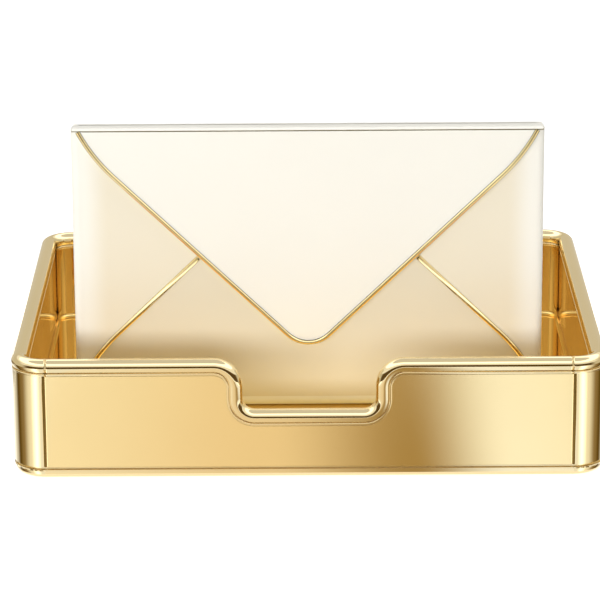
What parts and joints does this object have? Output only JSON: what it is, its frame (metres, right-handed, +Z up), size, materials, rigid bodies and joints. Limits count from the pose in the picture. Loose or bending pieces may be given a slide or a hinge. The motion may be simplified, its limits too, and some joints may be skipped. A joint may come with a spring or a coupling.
{
  "type": "letter tray with standing envelope",
  "caption": "Shallow round-cornered letter tray with a rolled rim that dips in front, and a flat envelope-shaped holder with a hinged flap standing in it.",
  "frame": {"origin": "on the table under the middle of the tray: the centre of the bounding box's lower face", "axes": "+X to the right as seen from the front, +Y from the front wall to the back wall, +Z up"},
  "size_m": [0.2706, 0.2176, 0.1489],
  "materials": {
    "polished_gold": "polished",
    "satin_gold": "satin",
    "cream_enamel": "satin",
    "bead_gold": "polished",
    "foot_rubber": "matte",
    "screw_steel": "satin"
  },
  "bodies": {
    "tray": {"base_pan": "polished_gold", "base_screws": "screw_steel", "liner_standoffs": "screw_steel", "inner_liner": "satin_gold", "front_wall": "polished_gold", "back_wall": "polished_gold", "left_wall": "polished_gold", "right_wall": "polished_gold", "corner_post_front_left": "polished_gold", "corner_post_front_right": "polished_gold", "corner_post_back_left": "polished_gold", "corner_post_back_right": "polished_gold", "rim_front": "polished_gold", "rim_back": "polished_gold", "rim_left": "polished_gold", "rim_right": "polished_gold", "foot_front_left": "foot_rubber", "foot_front_right": "foot_rubber", "foot_back_left": "foot_rubber", "foot_back_right": "foot_rubber", "locating_pin_left": "screw_steel", "locating_pin_right": "screw_steel"},
    "envelope": {"envelope_shell": "cream_enamel", "envelope_left_panel": "cream_enamel", "envelope_right_panel": "cream_enamel", "envelope_bottom_panel": "cream_enamel", "seam_bead_left": "bead_gold", "seam_bead_right": "bead_gold", "envelope_mounting_bar": "screw_steel", "flap_hinge_rod": "screw_steel"},
    "flap": {"flap_panel": "cream_enamel", "flap_edge_bead": "bead_gold"}
  },
  "joints": [
    {"name": "envelope_lift", "type": "slide", "parent": "tray", "child": "envelope", "axis": [0, 0, 1], "range_m": [0, 0.06]},
    {"name": "flap_hinge", "type": "hinge", "parent": "envelope", "child": "flap", "pos_m": [0, -0.0356, 0.1473], "axis": [-1, 0, 0], "range_deg": [0, 180]}
  ]
}
